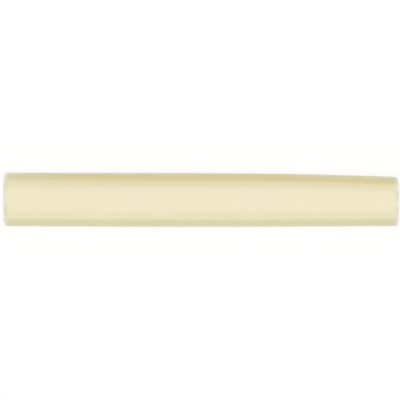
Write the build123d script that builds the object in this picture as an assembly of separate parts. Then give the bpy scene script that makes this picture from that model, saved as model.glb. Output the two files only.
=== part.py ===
"""Pencil liner tile: a slim half-round strip of pressed and fired clay, glazed on its face.

Sizes are in millimetres. The tile lies on its flat back, with +X along its length, +Y across it to its far
edge and +Z up to the crown. The origin is the middle of the overall box, on the back.
"""

import os

from build123d import *

# Overall size
tile_length = 150.0
tile_width = 20.7
tile_thickness = 12.5

# Half-round face: upright lands along both long edges, and a round crown of equal arcs from land to land
land_height = 2.5
crown_arcs = 4

# Hand-pressed outline: the near edge bows gently, and the far edge falls in towards the right-hand end
near_edge_bow = 0.3
far_edge_fall = 1.65
far_edge_power = 4
section_count = 7

# Eased edges: the glazed ends are rolled over, the left-hand one more, and the unglazed back has a soft arris
left_end_round = 1.7
right_end_round = 1.1
back_arris = 0.4

# Keys pressed into the back, which the adhesive grips
key_count = 3
key_pitch = 5.0
key_width = 2.6
key_depth = 0.8
key_draft = 20.0
key_end_margin = 8.0


def near_edge(x: float) -> float:
    """Y of the near long edge at x: furthest out at mid-length, and drawn in by near_edge_bow at both ends."""
    return -tile_width / 2 + near_edge_bow * (2 * x / tile_length) ** 2


def far_edge(x: float) -> float:
    """Y of the far long edge at x: straight at first, then drawn in by far_edge_fall at the right-hand end."""
    along = x / tile_length + 0.5
    return tile_width / 2 - far_edge_fall * along**far_edge_power


def section(x: float) -> Face:
    """The tile's cross-section at x, carried one land height below the back so that the back can be cut flat."""
    near, far = near_edge(x), far_edge(x)
    middle, half_width = (near + far) / 2, (far - near) / 2
    lands = Polyline((near, land_height), (near, -land_height), (far, -land_height), (far, land_height))
    rise, sweep = tile_thickness - land_height, 180 / crown_arcs
    crown = [
        EllipticalCenterArc((middle, land_height), half_width, rise, start_angle=number * sweep, arc_size=sweep)
        for number in range(crown_arcs)
    ]
    station = Plane(origin=(x, 0, 0), x_dir=(0, 1, 0), z_dir=(1, 0, 0))
    return station * make_face(Curve() + [lands, *crown])


def blank() -> Part:
    """The half-round strip, square at both ends and flat on its back."""
    step = tile_length / (section_count - 1)
    strip = loft([section(-tile_length / 2 + number * step) for number in range(section_count)])
    return split(strip, bisect_by=Plane.XY, keep=Keep.TOP)


def rolled_end(end: Face, radius: float) -> Part:
    """Rolls the rim of one end face over, up one land, across the crown and down the other land."""
    rim = end.edges().filter_by(lambda edge: edge.bounding_box().max.Z > back_arris)
    return fillet(rim, radius)


def rolled_ends(strip: Part) -> Part:
    """Rolls both ends of the strip over, each to its own radius."""
    left_done = rolled_end(strip.faces().sort_by(Axis.X).first, left_end_round)
    return rolled_end(left_done.faces().sort_by(Axis.X).last, right_end_round)


def soft_back(strip: Part) -> Part:
    """Eases the arris all round the back."""
    return fillet(strip.faces().sort_by(Axis.Z).first.edges(), back_arris)


def back_keys() -> Part:
    """The drafted, round-ended recesses that are pressed into the back."""
    outline = SlotOverall(tile_length - 2 * key_end_margin, key_width)
    key = extrude(outline, amount=key_depth, taper=key_draft)
    return Part() + [place * key for place in GridLocations(0, key_pitch, 1, key_count)]


def liner_tile() -> Part:
    """The whole tile, one fired piece."""
    return soft_back(rolled_ends(blank())) - back_keys()


os.makedirs("parts", exist_ok=True)
export_step(liner_tile(), "parts/liner_tile.step")
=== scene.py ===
"""Dresses the pencil liner tile: one half-round strip of pressed and fired clay under a cream glaze.

Lengths are in metres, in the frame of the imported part: +X along the tile, +Y across it to its far edge
and +Z up from its flat back to its crown. The finishes are sized in millimetres, and colours are linear.
"""

import logging
import math
from dataclasses import dataclass, field
from enum import Enum
from itertools import pairwise

import bmesh
import bpy
from mathutils import Matrix, Vector, noise


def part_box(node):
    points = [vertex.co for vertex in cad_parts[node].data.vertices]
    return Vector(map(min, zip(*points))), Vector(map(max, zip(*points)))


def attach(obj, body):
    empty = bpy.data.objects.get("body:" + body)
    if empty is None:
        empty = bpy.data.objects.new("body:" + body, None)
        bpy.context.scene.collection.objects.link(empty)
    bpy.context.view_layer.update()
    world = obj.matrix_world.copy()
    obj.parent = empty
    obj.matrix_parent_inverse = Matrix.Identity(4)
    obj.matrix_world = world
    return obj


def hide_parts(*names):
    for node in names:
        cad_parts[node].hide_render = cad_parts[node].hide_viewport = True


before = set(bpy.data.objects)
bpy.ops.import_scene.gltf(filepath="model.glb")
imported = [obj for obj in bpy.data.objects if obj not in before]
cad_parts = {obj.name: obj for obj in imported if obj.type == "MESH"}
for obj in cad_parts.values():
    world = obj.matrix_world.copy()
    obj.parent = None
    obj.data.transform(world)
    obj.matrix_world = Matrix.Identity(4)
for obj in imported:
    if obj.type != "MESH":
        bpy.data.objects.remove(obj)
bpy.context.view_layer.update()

NODE = "liner_tile"
BODY = "root"

MM = 0.001
ON_PLANE = 1e-6
NOISE_MIDDLE = 0.5

# Sockets of the Mix node, which has a pair of its own for numbers and for colours
MIX_SHARE = 0
MIX_NUMBERS = (2, 3)
MIX_COLOURS = (6, 7)
MIXED_NUMBER = 0
MIXED_COLOUR = 2

Colour = tuple[float, float, float]
Span = tuple[float, float]
Wire = bpy.types.NodeSocket

WHOLE: Span = (0.0, 1.0)
WHITE: Colour = (1.0, 1.0, 1.0)

log = logging.getLogger(NODE)


class SurfaceNote(Enum):
    """What each vertex of the tile notes for its finish."""

    COVER = "glaze_cover"
    RIM_BREAK_AND_LIGHT = "edge_break"
    END = "end_face"


class BlendKind(Enum):
    """The ways to join two colours."""

    LAY_OVER = "MIX"
    MULTIPLY = "MULTIPLY"


class SocketKind(Enum):
    """The kinds of socket that a shared shader group offers."""

    VALUE = "NodeSocketFloat"
    VECTOR = "NodeSocketVector"


class LampPlace(Enum):
    """Where each soft lamp of the studio hangs, as the camera sees the tile."""

    OVERHEAD = "overhead_lamp"
    FAR = "far_side_lamp"
    NEAR = "near_side_lamp"
    LEFT = "left_end_lamp"
    RIGHT = "right_end_lamp"


def smooth_step(low: float, high: float, value: float) -> float:
    """A share that eases from 0 where the value is low to 1 where it is high."""
    share = min(1.0, max(0.0, (value - low) / (high - low)))
    return share * share * (3.0 - 2.0 * share)


def parts_of(geometry: list, kind: type) -> list:
    """The parts of one kind, such as vertices, in an operator's result."""
    return [part for part in geometry if isinstance(part, kind)]


def cut_level(bm: bmesh.types.BMesh, height: float, clear_below: bool = False) -> None:
    """Cuts a mesh along a level plane.

    Args:
        bm: The mesh.
        height: The height of the plane.
        clear_below: Whether what lies below the plane is removed.
    """
    bmesh.ops.bisect_plane(
        bm,
        geom=[*bm.verts, *bm.edges, *bm.faces],
        dist=ON_PLANE,
        plane_co=(0.0, 0.0, height),
        plane_no=(0.0, 0.0, 1.0),
        clear_inner=clear_below,
    )


def back_faces(bm: bmesh.types.BMesh) -> list:
    """The faces that lie on the plane of the tile's back."""
    return [face for face in bm.faces if all(abs(vert.co.z) < ON_PLANE for vert in face.verts)]


def sort_faces(bm: bmesh.types.BMesh) -> None:
    """Puts the faces into the order of their vertices, which a bevel leaves to chance.

    Args:
        bm: The finished mesh.
    """
    bm.verts.index_update()
    ranked = sorted(bm.faces, key=lambda face: sorted(vert.index for vert in face.verts))
    rank = {face: number for number, face in enumerate(ranked)}
    bm.faces.sort(key=rank.get)


def show(name: str, data: bpy.types.ID) -> bpy.types.Object:
    """Puts a mesh, a lamp or a camera into the scene.

    Args:
        name: The name of its object.
        data: What the object holds.

    Returns:
        The object, at the origin.
    """
    made = bpy.data.objects.new(name, data)
    bpy.context.scene.collection.objects.link(made)
    return made


def show_mesh(name: str, bm: bmesh.types.BMesh) -> bpy.types.Object:
    """Puts a finished bmesh into the scene.

    Args:
        name: The name of its mesh and its object.
        bm: The bmesh, which is used up.

    Returns:
        The object, at the origin.
    """
    mesh = bpy.data.meshes.new(name)
    bm.to_mesh(mesh)
    bm.free()
    return show(name, mesh)


class NodeBench:
    """Places the nodes of one shader tree and wires them up."""

    def __init__(self, tree: bpy.types.NodeTree) -> None:
        """Starts with an empty tree."""
        self.tree = tree
        tree.nodes.clear()

    def place(self, kind: str, inputs: dict | None = None, **settings: object) -> bpy.types.Node:
        """Adds one node.

        Args:
            kind: The node's type name.
            inputs: Socket names or numbers, each with a wire to join or a constant to set.
            settings: Options of the node itself.

        Returns:
            The new node.
        """
        node = self.tree.nodes.new(kind)
        for name, value in settings.items():
            setattr(node, name, value)
        for name, value in (inputs or {}).items():
            if isinstance(value, Wire):
                self.tree.links.new(value, node.inputs[name])
            else:
                node.inputs[name].default_value = value
        return node

    def reckon(self, operation: str, first: Wire | float, second: Wire | float = 0.0) -> Wire:
        """One step of arithmetic, as a wire."""
        return self.place("ShaderNodeMath", {0: first, 1: second}, operation=operation).outputs[0]

    def plus(self, first: Wire | float, second: Wire | float) -> Wire:
        """The first number plus the second, as a wire."""
        return self.reckon("ADD", first, second)

    def minus(self, first: Wire | float, second: Wire | float) -> Wire:
        """The first number minus the second, as a wire."""
        return self.reckon("SUBTRACT", first, second)

    def times(self, first: Wire | float, second: Wire | float) -> Wire:
        """The first number times the second, as a wire."""
        return self.reckon("MULTIPLY", first, second)

    def over(self, first: Wire | float, second: Wire | float) -> Wire:
        """The first number divided by the second, as a wire."""
        return self.reckon("DIVIDE", first, second)

    def ease(self, value: Wire, span: Span, result: Span = WHOLE) -> Wire:
        """Maps a span of values smoothly onto a span of results.

        Args:
            value: The number to map.
            span: Where the change starts and ends.
            result: The numbers before and after it.

        Returns:
            The wire of the result.
        """
        (low, high), (start, end) = span, result
        inputs = {"Value": value, "From Min": low, "From Max": high, "To Min": start, "To Max": end}
        return self.place("ShaderNodeMapRange", inputs, interpolation_type="SMOOTHSTEP").outputs[0]

    def between(self, share: Wire, first: Wire, second: Wire) -> Wire:
        """A number that goes from the first to the second by a share, as a wire."""
        inputs = dict(zip((MIX_SHARE, *MIX_NUMBERS), (share, first, second)))
        return self.place("ShaderNodeMix", inputs).outputs[MIXED_NUMBER]

    def blend(
        self,
        share: Wire | float,
        under: Wire | Colour,
        over: Wire | Colour,
        how: BlendKind = BlendKind.LAY_OVER,
    ) -> Wire:
        """Lays one colour over another, or multiplies the two.

        Args:
            share: How much of the upper colour counts.
            under: The lower colour.
            over: The upper colour.
            how: The way to join them.

        Returns:
            The wire of the result.
        """
        pair = (side if isinstance(side, Wire) else (*side, 1.0) for side in (under, over))
        inputs = dict(zip((MIX_SHARE, *MIX_COLOURS), (share, *pair)))
        mix = self.place("ShaderNodeMix", inputs, data_type="RGBA", blend_type=how.value)
        return mix.outputs[MIXED_COLOUR]

    def seen(self) -> Wire:
        """Finds the rays that show the surroundings: straight to the camera, or by gloss or glass.

        Returns:
            The wire of a mask that is 1 for those rays.
        """
        path = self.place("ShaderNodeLightPath").outputs
        shown = self.reckon("MAXIMUM", path["Is Camera Ray"], path["Is Glossy Ray"])
        return self.reckon("MAXIMUM", shown, path["Is Transmission Ray"])


class SharedEffects:
    """The shader groups that the glaze and the bare clay share, sized in millimetres."""

    mottle_detail: float = 3.0
    least_speck: float = 0.4
    speck_edge: Span = (0.0, 0.5)

    def __init__(self) -> None:
        """Builds each group once."""
        self.mottle = self.build_mottle()
        self.specks = self.build_specks()

    @staticmethod
    def begin(name: str, values: list[str], output: str) -> tuple[NodeBench, bpy.types.Node]:
        """Opens a group that takes a place and some values.

        Args:
            name: The group's name.
            values: The names of its value inputs.
            output: The name of its one output.

        Returns:
            The group's bench and its input node.
        """
        tree = bpy.data.node_groups.new(name, "ShaderNodeTree")
        tree.interface.new_socket(name="Place", in_out="INPUT", socket_type=SocketKind.VECTOR.value)
        for title in values:
            tree.interface.new_socket(name=title, in_out="INPUT", socket_type=SocketKind.VALUE.value)
        tree.interface.new_socket(name=output, in_out="OUTPUT", socket_type=SocketKind.VALUE.value)
        bench = NodeBench(tree)
        return bench, bench.place("NodeGroupInput")

    def build_mottle(self) -> bpy.types.NodeTree:
        """Builds a soft cloudy tone about 1, for a colour that varies from place to place.

        Returns:
            The group.
        """
        bench, given = self.begin("cloudy_mottle", ["Cloud", "Depth"], "Tone")
        pace = bench.over(1.0, given.outputs["Cloud"])
        inputs = {"Vector": given.outputs["Place"], "Scale": pace, "Detail": self.mottle_detail}
        clouds = bench.place("ShaderNodeTexNoise", inputs).outputs["Fac"]
        swing = bench.times(bench.minus(clouds, NOISE_MIDDLE), given.outputs["Depth"])
        bench.place("NodeGroupOutput", {"Tone": bench.plus(swing, 1.0)})
        return bench.tree

    def build_specks(self) -> bpy.types.NodeTree:
        """Builds small scattered dots of uneven size, for specks, pinholes, grit and pores.

        Returns:
            The group.
        """
        bench, given = self.begin("scattered_specks", ["Spacing", "Radius", "Share"], "Mask")
        pace = bench.over(1.0, given.outputs["Spacing"])
        cells = bench.place("ShaderNodeTexVoronoi", {"Vector": given.outputs["Place"], "Scale": pace})
        draw = bench.place("ShaderNodeSeparateColor", {"Color": cells.outputs["Color"]})
        picked = bench.reckon("LESS_THAN", draw.outputs["Red"], given.outputs["Share"])
        reach = bench.times(given.outputs["Radius"], bench.plus(draw.outputs["Green"], self.least_speck))
        away = bench.times(cells.outputs["Distance"], given.outputs["Spacing"])
        inside = bench.ease(bench.minus(1.0, bench.over(away, reach)), self.speck_edge)
        bench.place("NodeGroupOutput", {"Mask": bench.times(inside, picked)})
        return bench.tree


class SurfaceBench(NodeBench):
    """The bench of a piece's material, which knows the place on the piece and the shared effects."""

    def __init__(self, tree: bpy.types.NodeTree, effects: SharedEffects) -> None:
        """Starts with the place on the piece, in millimetres.

        Args:
            tree: The material's node tree.
            effects: The shared shader groups.
        """
        super().__init__(tree)
        self.effects = effects
        spot = self.place("ShaderNodeTexCoord").outputs["Object"]
        to_mm = (1.0 / MM,) * 3
        self.spot = self.place("ShaderNodeMapping", {"Vector": spot, "Scale": to_mm}).outputs["Vector"]

    def noise(self, size: float, detail: float) -> Wire:
        """Cloudy noise, with clouds of one size and some finer layers, as a wire."""
        inputs = {"Vector": self.spot, "Scale": 1.0 / size, "Detail": detail}
        return self.place("ShaderNodeTexNoise", inputs).outputs["Fac"]

    def note(self, what: SurfaceNote) -> Wire:
        """What the vertices of the piece note, as a wire."""
        return self.place("ShaderNodeAttribute", attribute_name=what.value).outputs["Fac"]

    def effect(self, group: bpy.types.NodeTree, **values: float) -> Wire:
        """A shared group with values of its own, as a wire."""
        return self.place("ShaderNodeGroup", {"Place": self.spot, **values}, node_tree=group).outputs[0]


@dataclass(frozen=True)
class Mottle:
    """A cloudy unevenness of tone: the width of its clouds, and how far the tone swings."""

    cloud: float
    depth: float

    def tone(self, bench: SurfaceBench) -> Wire:
        """The tone, about 1, as a wire."""
        return bench.effect(bench.effects.mottle, Cloud=self.cloud, Depth=self.depth)


@dataclass(frozen=True)
class Scatter:
    """Small scattered dots: the pitch of their cells, their radius and the share of cells with one."""

    spacing: float
    radius: float
    share: float

    def mask(self, bench: SurfaceBench) -> Wire:
        """1 inside the dots and 0 between them, as a wire."""
        sizes = {"Spacing": self.spacing, "Radius": self.radius, "Share": self.share}
        return bench.effect(bench.effects.specks, **sizes)


@dataclass(frozen=True)
class Coat:
    """The wires of one finish: its colour, its roughness and its height."""

    colour: Wire
    rough: Wire
    height: Wire


@dataclass(frozen=True)
class CreamGlaze:
    """The glaze: pale on the crown, deeper where it pooled on the flanks, with painted shade on the far
    flank and painted cooler light on the near flank, and greener near the ends.
    """

    # Colours of the body, and of what lies over it
    crown: Colour = (0.742, 0.652, 0.439)
    # Deeper glaze on the far flank, darkened and warmed further by painted shade
    far_pool_and_painted_shade: Colour = (0.722, 0.626, 0.327)
    # Deeper glaze on the near flank, greened by painted cooler light
    near_pool_and_painted_light: Colour = (0.734, 0.693, 0.416)
    end_tint: Colour = (0.96, 1.045, 0.98)
    # Paler for the thinner glaze on the end faces, and lighter still as painted light that lifts their
    # shade
    end_face: Colour = (0.775, 0.7, 0.505)
    # Paler where the glaze breaks over the rims, and lighter still as painted light where their turn
    # falls into shade
    break_and_painted_light: Colour = (0.895, 0.84, 0.695)
    foot_line: Colour = (0.56, 0.42, 0.22)
    speck: Colour = (0.47, 0.36, 0.2)

    # Where the pools lie, with their painted shade and light, and where the far one and its painted shade
    # fade
    pool_up: Span = (9.5, 11.8)
    pool_sway: float = 0.25
    near_to_far: Span = (-3.0, 3.0)
    far_fade_along: Span = (-72.0, -42.0)
    far_fade_most: float = 0.6

    # Where the ends turn green, the rims break pale with painted light over their turn, and the foot
    # darkens
    tint_from_middle: Span = (67.0, 74.0)
    tint_across: Span = (-7.0, -3.0)
    break_patch: float = 3.5
    break_detail: float = 2.0
    break_noise: Span = (0.35, 0.65)
    break_least: float = 0.33
    foot_cover: Span = (0.6, 0.98)
    foot_strength: float = 0.6

    # Unevenness, specks and pinholes
    clouds: Mottle = Mottle(cloud=17.0, depth=0.035)
    cloud_detail: float = 2.0
    flecks: Mottle = Mottle(cloud=2.4, depth=0.05)
    specks: Scatter = Scatter(spacing=1.0, radius=0.09, share=0.28)
    speck_strength: float = 0.5
    pinholes: Scatter = Scatter(spacing=0.9, radius=0.06, share=0.25)
    pinhole_depth: float = 0.5

    # Gloss and ripples
    gloss_noise: Span = (0.3, 0.7)
    gloss: Span = (0.11, 0.17)
    ripple: float = 2.6
    ripple_detail: float = 1.0
    ripple_height: float = 0.12

    def pooled(self, bench: SurfaceBench, clouds: Wire, along: Wire, across: Wire, up: Wire) -> Wire:
        """Blends the crown with the pools on the two flanks, which also carry painted shade on the far
        flank and painted cooler light on the near flank.

        Args:
            bench: The material's bench.
            clouds: Cloudy noise that sways the edge of the pools.
            along: The place along the tile.
            across: The place across it.
            up: The height above its back.

        Returns:
            The wire of the colour.
        """
        sway = bench.times(bench.minus(clouds, NOISE_MIDDLE), 2.0 * self.pool_sway)
        low = bench.ease(bench.plus(up, sway), self.pool_up, (1.0, 0.0))
        far = bench.ease(across, self.near_to_far)
        left = bench.ease(along, self.far_fade_along, (self.far_fade_most, 0.0))
        # The pools carry painted shade on the far flank and painted cooler light on the near flank, over
        # the deeper glaze there.
        pool_and_painted_shading = bench.times(low, bench.minus(1.0, bench.times(far, left)))
        return bench.blend(pool_and_painted_shading, self.crown, bench.blend(far, self.near_pool_and_painted_light, self.far_pool_and_painted_shade))

    def colour(self, bench: SurfaceBench, clouds: Wire) -> Wire:
        """Blends the pools with their painted shade and light, the green ends, the end faces, lifted by
        painted light, and the rims that the glaze drew back from, which carry painted light.

        Args:
            bench: The material's bench.
            clouds: Cloudy noise that sways the edge of the pools.

        Returns:
            The wire of the colour.
        """
        along, across, up = bench.place("ShaderNodeSeparateXYZ", {"Vector": bench.spot}).outputs
        body = self.pooled(bench, clouds, along, across, up)
        near_end = bench.ease(bench.reckon("ABSOLUTE", along), self.tint_from_middle)
        tint = bench.times(near_end, bench.ease(across, self.tint_across))
        green = bench.blend(1.0, body, self.end_tint, BlendKind.MULTIPLY)
        # The end faces take a paler colour: thinner glaze, and painted light that lifts their shade.
        ended = bench.blend(bench.note(SurfaceNote.END), bench.blend(tint, body, green), self.end_face)
        patches = bench.noise(self.break_patch, self.break_detail)
        patchy = bench.ease(patches, self.break_noise, (self.break_least, 1.0))
        # The rims' pale break also lifts the shade of each rim's turn with painted light.
        rim_break_and_light = bench.times(bench.note(SurfaceNote.RIM_BREAK_AND_LIGHT), patchy)
        return bench.blend(rim_break_and_light, ended, self.break_and_painted_light)

    def coat(self, bench: SurfaceBench, cover: Wire) -> Coat:
        """Wires up the glaze.

        Args:
            bench: The material's bench.
            cover: How far the glaze covers the clay there.

        Returns:
            The glaze's wires.
        """
        clouds = bench.noise(self.clouds.cloud, self.cloud_detail)
        tone = bench.times(self.clouds.tone(bench), self.flecks.tone(bench))
        body = bench.blend(1.0, self.colour(bench, clouds), tone, BlendKind.MULTIPLY)
        specks = bench.times(self.specks.mask(bench), self.speck_strength)
        foot = bench.ease(cover, self.foot_cover, (self.foot_strength, 0.0))
        ripples = bench.times(bench.noise(self.ripple, self.ripple_detail), self.ripple_height)
        pinholes = bench.times(self.pinholes.mask(bench), self.pinhole_depth)
        return Coat(
            colour=bench.blend(foot, bench.blend(specks, body, self.speck), self.foot_line),
            rough=bench.ease(clouds, self.gloss_noise, self.gloss),
            height=bench.minus(ripples, pinholes),
        )


@dataclass(frozen=True)
class BareClay:
    """The fired body where no glaze covers it: sandy, dry and pale, with darker grit and open pores."""

    pale: Colour = (0.7, 0.61, 0.48)
    deep: Colour = (0.62, 0.52, 0.4)
    grit_colour: Colour = (0.3, 0.22, 0.15)
    patch: float = 6.0
    patch_detail: float = 4.0
    patch_noise: Span = (0.3, 0.7)
    grain: Mottle = Mottle(cloud=0.32, depth=0.22)
    grain_height: float = 1.6
    grit: Scatter = Scatter(spacing=1.3, radius=0.16, share=0.3)
    grit_strength: float = 0.5
    pores: Scatter = Scatter(spacing=0.8, radius=0.14, share=0.35)
    pore_depth: float = 0.8
    dry_noise: Span = (0.2, 0.8)
    dryness: Span = (0.82, 0.94)

    def coat(self, bench: SurfaceBench) -> Coat:
        """Wires up the bare clay.

        Args:
            bench: The material's bench.

        Returns:
            The clay's wires.
        """
        patches = bench.noise(self.patch, self.patch_detail)
        grain = self.grain.tone(bench)
        body = bench.blend(bench.ease(patches, self.patch_noise), self.pale, self.deep)
        grained = bench.blend(1.0, body, grain, BlendKind.MULTIPLY)
        grit = bench.times(self.grit.mask(bench), self.grit_strength)
        pores = bench.times(self.pores.mask(bench), self.pore_depth)
        return Coat(
            colour=bench.blend(grit, grained, self.grit_colour),
            rough=bench.ease(patches, self.dry_noise, self.dryness),
            height=bench.minus(bench.times(grain, self.grain_height), pores),
        )


@dataclass(frozen=True)
class TileFinish:
    """One material for the whole fired piece: glaze where it is covered and bare clay elsewhere."""

    glaze: CreamGlaze = CreamGlaze()
    clay: BareClay = BareClay()
    glaze_edge: Span = (0.42, 0.58)
    bump_depth: float = 0.06 * MM

    def material(self) -> bpy.types.Material:
        """Builds the material.

        Returns:
            The material.
        """
        made = bpy.data.materials.new("cream_glaze_on_clay")
        made.use_nodes = True
        bench = SurfaceBench(made.node_tree, SharedEffects())
        cover = bench.note(SurfaceNote.COVER)
        covered = bench.ease(cover, self.glaze_edge)
        glaze = self.glaze.coat(bench, cover)
        clay = self.clay.coat(bench)
        height = bench.between(covered, clay.height, glaze.height)
        relief = {"Height": height, "Distance": self.bump_depth, "Strength": 1.0}
        bump = bench.place("ShaderNodeBump", relief)
        surface = {
            "Base Color": bench.blend(covered, clay.colour, glaze.colour),
            "Roughness": bench.between(covered, clay.rough, glaze.rough),
            "Normal": bump.outputs["Normal"],
        }
        shader = bench.place("ShaderNodeBsdfPrincipled", surface)
        bench.place("ShaderNodeOutputMaterial", {"Surface": shader.outputs["BSDF"]})
        return made


@dataclass
class HalfRoundStrip:
    """The pressed form: a half-round section on upright lands, along a bowed and tapering strip."""

    length: float
    width: float
    thickness: float
    land_height: float = 2.5 * MM
    near_edge_bow: float = 0.3 * MM
    far_edge_fall: float = 1.65 * MM
    far_edge_power: int = 4
    crown_steps: int = 64
    station_count: int = 60

    def near_edge(self, x: float) -> float:
        """Y of the near long edge at x."""
        return -self.width / 2 + self.near_edge_bow * (2 * x / self.length) ** 2

    def far_edge(self, x: float) -> float:
        """Y of the far long edge at x."""
        return self.width / 2 - self.far_edge_fall * (x / self.length + 0.5) ** self.far_edge_power

    def middle(self, x: float) -> float:
        """Y of the crown at x."""
        return (self.near_edge(x) + self.far_edge(x)) / 2

    def half_width(self, x: float) -> float:
        """Half of the width at x."""
        return (self.far_edge(x) - self.near_edge(x)) / 2

    def first_section(self, bm: bmesh.types.BMesh) -> bmesh.types.BMFace:
        """Draws the left-hand end's section: half of a disc, with its chord drawn down into two lands.

        Args:
            bm: The empty mesh.

        Returns:
            The section, as one face.
        """
        start = -self.length / 2
        upright = Matrix(((0.0, 0.0, 1.0), (1.0, 0.0, 0.0), (0.0, 1.0, 0.0)))
        bmesh.ops.create_circle(bm, cap_ends=True, segments=2 * self.crown_steps, radius=1.0)
        bmesh.ops.rotate(bm, verts=bm.verts, cent=(0.0, 0.0, 0.0), matrix=upright)
        cut_level(bm, 0.0, clear_below=True)
        chord = next(edge for edge in bm.edges if all(abs(vert.co.z) < ON_PLANE for vert in edge.verts))
        size = (1.0, self.half_width(start), self.thickness - self.land_height)
        bmesh.ops.scale(bm, verts=bm.verts, vec=size)
        bmesh.ops.translate(bm, verts=bm.verts, vec=(start, self.middle(start), self.land_height))
        lands = bmesh.ops.extrude_edge_only(bm, edges=[chord])["geom"]
        feet = parts_of(lands, bmesh.types.BMVert)
        bmesh.ops.translate(bm, verts=feet, vec=(0.0, 0.0, -self.land_height))
        bmesh.ops.dissolve_edges(bm, edges=[chord])
        return bm.faces[:][0]

    def loft(self, bm: bmesh.types.BMesh) -> None:
        """Copies the section from station to station, to the width there, and bridges the copies.

        Args:
            bm: The empty mesh, which then holds the square-ended strip.
        """
        outline = self.first_section(bm).edges[:]
        step = self.length / self.station_count
        stations = [-self.length / 2 + number * step for number in range(self.station_count + 1)]
        for here, there in pairwise(stations):
            copied = bmesh.ops.duplicate(bm, geom=outline)["geom"]
            ring = parts_of(copied, bmesh.types.BMVert)
            widen = (1.0, self.half_width(there) / self.half_width(here), 1.0)
            about_crown = Matrix.Translation((0.0, -self.middle(here), 0.0))
            bmesh.ops.scale(bm, verts=ring, vec=widen, space=about_crown)
            bmesh.ops.translate(bm, verts=ring, vec=(step, self.middle(there) - self.middle(here), 0.0))
            next_outline = parts_of(copied, bmesh.types.BMEdge)
            bmesh.ops.bridge_loops(bm, edges=outline + next_outline)
            outline = next_outline
        bmesh.ops.edgeloop_fill(bm, edges=outline)
        bmesh.ops.recalc_face_normals(bm, faces=bm.faces)


@dataclass
class EasedEdges:
    """The rolled rims of both ends, the left-hand one rolled more, and the soft arris round the back."""

    left_round: float = 1.7 * MM
    right_round: float = 1.1 * MM
    end_steps: int = 8
    back_arris: float = 0.4 * MM
    arris_steps: int = 4
    end_margin: float = 0.3 * MM
    end_lean: float = 0.3

    def ease(self, bm: bmesh.types.BMesh, half_length: float) -> None:
        """Rolls the rims of the ends, eases the back and frames each flat end with a narrow margin.

        Args:
            bm: The square-ended strip.
            half_length: Half of its length.
        """
        for side, radius in ((-1.0, self.left_round), (1.0, self.right_round)):
            end = {vert for vert in bm.verts if half_length - side * vert.co.x < ON_PLANE}
            around = [edge for edge in bm.edges if end.issuperset(edge.verts)]
            rim = [edge for edge in around if max(vert.co.z for vert in edge.verts) > ON_PLANE]
            self.round_over(bm, rim, radius, self.end_steps)
        back = back_faces(bm)
        arris = [edge for face in back for edge in face.edges if not set(edge.link_faces).issubset(back)]
        self.round_over(bm, arris, self.back_arris, self.arris_steps)
        flat_ends = [face for face in bm.faces if abs(face.normal.x) > 1 - ON_PLANE]
        for face in flat_ends:
            bmesh.ops.inset_region(bm, faces=[face], thickness=self.end_margin, use_even_offset=True)
        self.note_turns(bm)

    @staticmethod
    def round_over(bm: bmesh.types.BMesh, edges: list, radius: float, steps: int) -> None:
        """Rounds some edges over.

        Args:
            bm: The strip.
            edges: The edges to round.
            radius: How far they are rounded.
            steps: How many faces make up the round.
        """
        bmesh.ops.bevel(
            bm,
            geom=edges,
            offset=radius,
            offset_type="OFFSET",
            segments=steps,
            profile=0.5,
            affect="EDGES",
            clamp_overlap=False,
            material=-1,
        )
        bm.normal_update()

    def note_turns(self, bm: bmesh.types.BMesh) -> None:
        """Notes how near each vertex is to the middle of a rim's turn, and how far it faces the end.

        Args:
            bm: The eased strip.
        """
        # This mask peaks at the middle of each rim's turn, where the pale break and its painted light go.
        rim_break_and_light = bm.verts.layers.float.new(SurfaceNote.RIM_BREAK_AND_LIGHT.value)
        end = bm.verts.layers.float.new(SurfaceNote.END.value)
        bm.normal_update()
        for vert in bm.verts:
            lean = min(1.0, abs(vert.normal.x))
            vert[rim_break_and_light] = math.sin(2.0 * math.asin(lean))
            vert[end] = smooth_step(self.end_lean, 1.0, lean)


@dataclass
class GlazeLine:
    """The wavy edge of the glaze above the back, with the clay below set in by the glaze's thickness."""

    height: float = 1.0 * MM
    sway: float = 0.25 * MM
    sway_length: float = 8.0 * MM
    thickness: float = 0.16 * MM
    lip: float = 0.2 * MM
    cut_step: float = 0.1 * MM

    def bare(self, point: Vector) -> float:
        """How bare the clay is at a point of the side: 0 under the glaze and 1 below its edge."""
        line = self.height + self.sway * noise.noise(Vector((point.x, point.y, 0.0)) / self.sway_length)
        return 1.0 - smooth_step(line - self.lip, line + self.lip, point.z)

    def cut(self, bm: bmesh.types.BMesh, length: float, width: float) -> None:
        """Cuts fine rings round the foot, sets the clay back below the glaze and notes the cover.

        Args:
            bm: The eased strip.
            length: The tile's length.
            width: The tile's width.
        """
        reach = self.sway + self.lip
        rings = round(2 * reach / self.cut_step)
        for number in range(rings + 1):
            cut_level(bm, self.height - reach + number * self.cut_step)
        cover = bm.verts.layers.float.new(SurfaceNote.COVER.value)
        for vert in bm.verts:
            bare = self.bare(vert.co)
            vert[cover] = 1.0 - bare
            vert.co.x *= 1.0 - 2.0 * self.thickness * bare / length
            vert.co.y *= 1.0 - 2.0 * self.thickness * bare / width


@dataclass
class HandPressing:
    """The slight unevenness of a face that was pressed and glazed by hand."""

    depth: float = 0.06 * MM
    wave: float = 16.0 * MM

    def press(self, bm: bmesh.types.BMesh) -> None:
        """Sinks the glazed face a little, more in some places than in others.

        Args:
            bm: The strip, with its glaze noted.
        """
        cover = bm.verts.layers.float[SurfaceNote.COVER.value]
        bm.normal_update()
        for vert in bm.verts:
            dip = (1.0 + noise.noise(vert.co / self.wave)) / 2.0
            vert.co -= vert.normal * (self.depth * dip * vert[cover])


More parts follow.
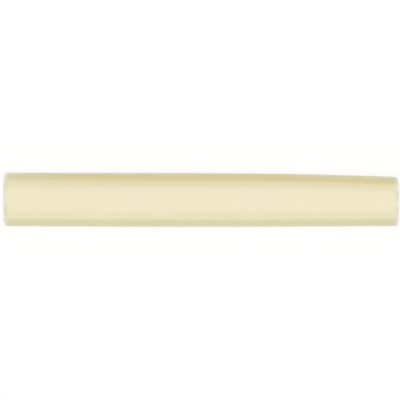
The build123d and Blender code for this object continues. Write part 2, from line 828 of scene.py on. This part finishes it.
@dataclass
class BackKeys:
    """The drafted, round-ended recesses pressed into the back, with soft mouths and floor corners."""

    count: int = 3
    pitch: float = 5.0 * MM
    width: float = 2.6 * MM
    depth: float = 0.8 * MM
    draft: float = math.radians(20.0)
    end_margin: float = 8.0 * MM
    softness: float = 0.18 * MM
    soft_steps: int = 3
    mouth_steps: int = 32

    def press(self, bm: bmesh.types.BMesh, length: float) -> None:
        """Lays a new back with a hole for each key, and sinks the keys.

        Args:
            bm: The strip, with its old flat back.
            length: The tile's length.
        """
        bmesh.ops.delete(bm, geom=back_faces(bm), context="FACES")
        outline = [edge for edge in bm.edges if edge.is_boundary]
        middle = (self.count - 1) / 2
        mouths = [self.mouth(bm, length, (number - middle) * self.pitch) for number in range(self.count)]
        holes = [edge for mouth in mouths for edge in mouth.edges]
        bmesh.ops.triangle_fill(bm, edges=outline + holes, normal=(0.0, 0.0, -1.0), use_beauty=True)
        for mouth in mouths:
            self.sink(bm, mouth)

    def mouth(self, bm: bmesh.types.BMesh, length: float, y: float) -> bmesh.types.BMFace:
        """Draws one key's round-ended mouth on the back.

        Args:
            bm: The strip.
            length: The tile's length.
            y: The key's middle line.

        Returns:
            The mouth, as one face that looks down.
        """
        half_width = self.width / 2 + self.softness * math.cos(self.draft)
        half_step = math.pi / self.mouth_steps
        drawn = bmesh.ops.create_circle(
            bm,
            cap_ends=True,
            segments=self.mouth_steps,
            radius=half_width / math.cos(half_step),
            matrix=Matrix.Translation((0.0, y, 0.0)) @ Matrix.Rotation(half_step, 4, "Z"),
        )
        ring = drawn["verts"]
        reach = length / 2 - self.end_margin - self.width / 2
        for side in (-1.0, 1.0):
            end = [vert for vert in ring if side * vert.co.x > 0.0]
            bmesh.ops.translate(bm, verts=end, vec=(side * reach, 0.0, 0.0))
        face = ring[0].link_faces[0]
        face.normal_update()
        if face.normal.z > 0.0:
            face.normal_flip()
        return face

    def sink(self, bm: bmesh.types.BMesh, mouth: bmesh.types.BMFace) -> None:
        """Draws a mouth inwards round a soft edge, up the drafted wall and round into the floor.

        Args:
            bm: The strip.
            mouth: The key's mouth, which becomes its floor.
        """
        turn = math.pi / 2 - self.draft
        bends = [turn * number / self.soft_steps for number in range(self.soft_steps + 1)]
        edge = [(math.sin(b) - math.sin(a), math.cos(a) - math.cos(b)) for a, b in pairwise(bends)]
        steps = [(self.softness * inward, self.softness * down) for inward, down in edge]
        wall = self.depth - 2.0 * self.softness * (1.0 - math.cos(turn))
        for inward, down in [*steps, (wall * math.tan(self.draft), wall), *reversed(steps)]:
            bmesh.ops.inset_region(bm, faces=[mouth], thickness=inward, depth=-down, use_even_offset=True)


@dataclass
class LinerTile:
    """The whole tile, one fired piece, sized by the box of its solid."""

    low: Vector
    high: Vector
    edges: EasedEdges = field(default_factory=EasedEdges)
    glaze_line: GlazeLine = field(default_factory=GlazeLine)
    pressing: HandPressing = field(default_factory=HandPressing)
    keys: BackKeys = field(default_factory=BackKeys)
    finish: TileFinish = TileFinish()

    def build(self) -> bpy.types.Object:
        """Models the tile, smooth all over apart from the flats that look straight down.

        Returns:
            The tile's object.
        """
        size = self.high - self.low
        strip = HalfRoundStrip(length=size.x, width=size.y, thickness=size.z)
        bm = bmesh.new()
        strip.loft(bm)
        self.edges.ease(bm, size.x / 2)
        self.glaze_line.cut(bm, size.x, size.y)
        self.pressing.press(bm)
        self.keys.press(bm, size.x)
        bmesh.ops.recalc_face_normals(bm, faces=bm.faces)
        sort_faces(bm)
        for face in bm.faces:
            face.smooth = face.normal.z > -1 + ON_PLANE
        return show_mesh("glazed_liner_tile", bm)

    def dress(self, piece: bpy.types.Object) -> None:
        """Gives the tile its finish and sets it in the place of its solid.

        Args:
            piece: The tile's object.
        """
        piece.data.materials.append(self.finish.material())
        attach(piece, BODY)
        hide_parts(NODE)


@dataclass(frozen=True)
class TableFinish:
    """A white table that glows a little where it is seen, so that the shadow on it stays faint."""

    bounce: Colour = (0.8, 0.8, 0.8)
    seen_glow: float = 0.8
    gloss_glow: float = 0.25

    def material(self) -> bpy.types.Material:
        """Builds the material.

        Returns:
            The material.
        """
        made = bpy.data.materials.new("white_table")
        made.use_nodes = True
        bench = NodeBench(made.node_tree)
        glow = bench.place("ShaderNodeEmission", {"Color": (*WHITE, 1.0), "Strength": 1.0}).outputs[0]
        lit = bench.place("ShaderNodeBsdfDiffuse", {"Color": (*WHITE, 1.0)}).outputs[0]
        plain = bench.place("ShaderNodeBsdfDiffuse", {"Color": (*self.bounce, 1.0)}).outputs[0]
        to_camera = bench.place("ShaderNodeLightPath").outputs["Is Camera Ray"]
        glow_share = bench.ease(to_camera, WHOLE, (self.gloss_glow, self.seen_glow))
        shown = bench.place("ShaderNodeMixShader", {0: glow_share, 1: lit, 2: glow}).outputs[0]
        surface = bench.place("ShaderNodeMixShader", {0: bench.seen(), 1: plain, 2: shown}).outputs[0]
        bench.place("ShaderNodeOutputMaterial", {"Surface": surface})
        return made


@dataclass(frozen=True)
class SoftLamp:
    """A large rectangular lamp that faces the tile, at a bearing and an elevation in degrees."""

    place: LampPlace
    bearing: float
    elevation: float
    size: tuple[float, float]
    power: float
    distance: float = 2.0

    def hang(self) -> bpy.types.Object:
        """Hangs the lamp in its place, turned to the middle of the tile.

        Returns:
            The lamp.
        """
        rise = Matrix.Rotation(math.radians(-self.elevation), 3, "Y")
        turn = Matrix.Rotation(math.radians(self.bearing), 3, "Z")
        outwards = turn @ rise @ Vector((1.0, 0.0, 0.0))
        light = bpy.data.lights.new(self.place.value, "AREA")
        light.shape = "RECTANGLE"
        light.size, light.size_y = self.size
        light.energy = self.power
        lamp = show(self.place.value, light)
        lamp.location = self.distance * outwards
        lamp.rotation_euler = (-outwards).to_track_quat("-Z", "Y").to_euler()
        lamp.visible_camera = False
        return lamp


@dataclass
class Studio:
    """A pale table, soft lamps and a camera straight above the tile."""

    table_size: float = 8.0
    table_drop: float = 0.05 * MM
    table_finish: TableFinish = TableFinish()
    fill: float = 0.19
    camera_height: float = 3.0
    camera_x: float = -0.36 * MM
    camera_y: float = -0.07 * MM
    frame_width: float = 151.75 * MM
    frame_level: float = 11.3 * MM
    lamps: list[SoftLamp] = field(
        default_factory=lambda: [
            SoftLamp(LampPlace.OVERHEAD, 90.0, 90.0, (0.7, 5.7), 38.4),
            SoftLamp(LampPlace.FAR, 90.0, 17.5, (1.07, 1.26), 7.0),
            SoftLamp(LampPlace.NEAR, -90.0, 17.5, (1.07, 1.26), 7.7),
            SoftLamp(LampPlace.LEFT, 180.0, 33.0, (0.5, 2.5), 11.8),
            SoftLamp(LampPlace.RIGHT, 0.0, 33.0, (0.5, 2.5), 11.8),
        ]
    )

    def lay_table(self, low: float) -> bpy.types.Object:
        """Lays the table just under the tile.

        Args:
            low: The height of the tile's back.

        Returns:
            The table.
        """
        bm = bmesh.new()
        bmesh.ops.create_grid(bm, x_segments=1, y_segments=1, size=self.table_size / 2)
        bmesh.ops.translate(bm, verts=bm.verts, vec=(0.0, 0.0, low - self.table_drop))
        table = show_mesh("white_table", bm)
        table.data.materials.append(self.table_finish.material())
        return table

    def light_room(self) -> None:
        """Fills the room with soft light, and shows it white where it is seen."""
        room = bpy.data.worlds.new("pale_room")
        room.use_nodes = True
        bench = NodeBench(room.node_tree)
        strength = bench.ease(bench.seen(), WHOLE, (self.fill, 1.0))
        backdrop = bench.place("ShaderNodeBackground", {"Color": (*WHITE, 1.0), "Strength": strength})
        bench.place("ShaderNodeOutputWorld", {"Surface": backdrop.outputs[0]})
        bpy.context.scene.world = room

    def set_camera(self) -> bpy.types.Object:
        """Looks straight down on the tile, with its length across the picture.

        Returns:
            The camera.
        """
        lens = bpy.data.cameras.new("camera")
        lens.lens = lens.sensor_width * (self.camera_height - self.frame_level) / self.frame_width
        lens.clip_end = 2 * self.table_size
        camera = show("camera", lens)
        camera.location = (self.camera_x, self.camera_y, self.camera_height)
        bpy.context.scene.camera = camera
        return camera

    def set_up(self, low: float) -> None:
        """Sets up the table, the light and the camera.

        Args:
            low: The height of the tile's back.
        """
        self.lay_table(low)
        self.light_room()
        for lamp in self.lamps:
            log.info("lamp %s", lamp.hang().name)
        self.set_camera()
        bpy.context.scene.view_settings.view_transform = "Standard"


def main() -> None:
    """Builds the tile, dresses it and sets up the studio."""
    logging.basicConfig(level=logging.INFO, format="%(name)s: %(message)s")
    low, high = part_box(NODE)
    tile = LinerTile(low, high)
    piece = tile.build()
    tile.dress(piece)
    log.info("piece %s has %d faces", piece.name, len(piece.data.polygons))
    Studio().set_up(low.z)


if __name__ == "__main__":
    main()
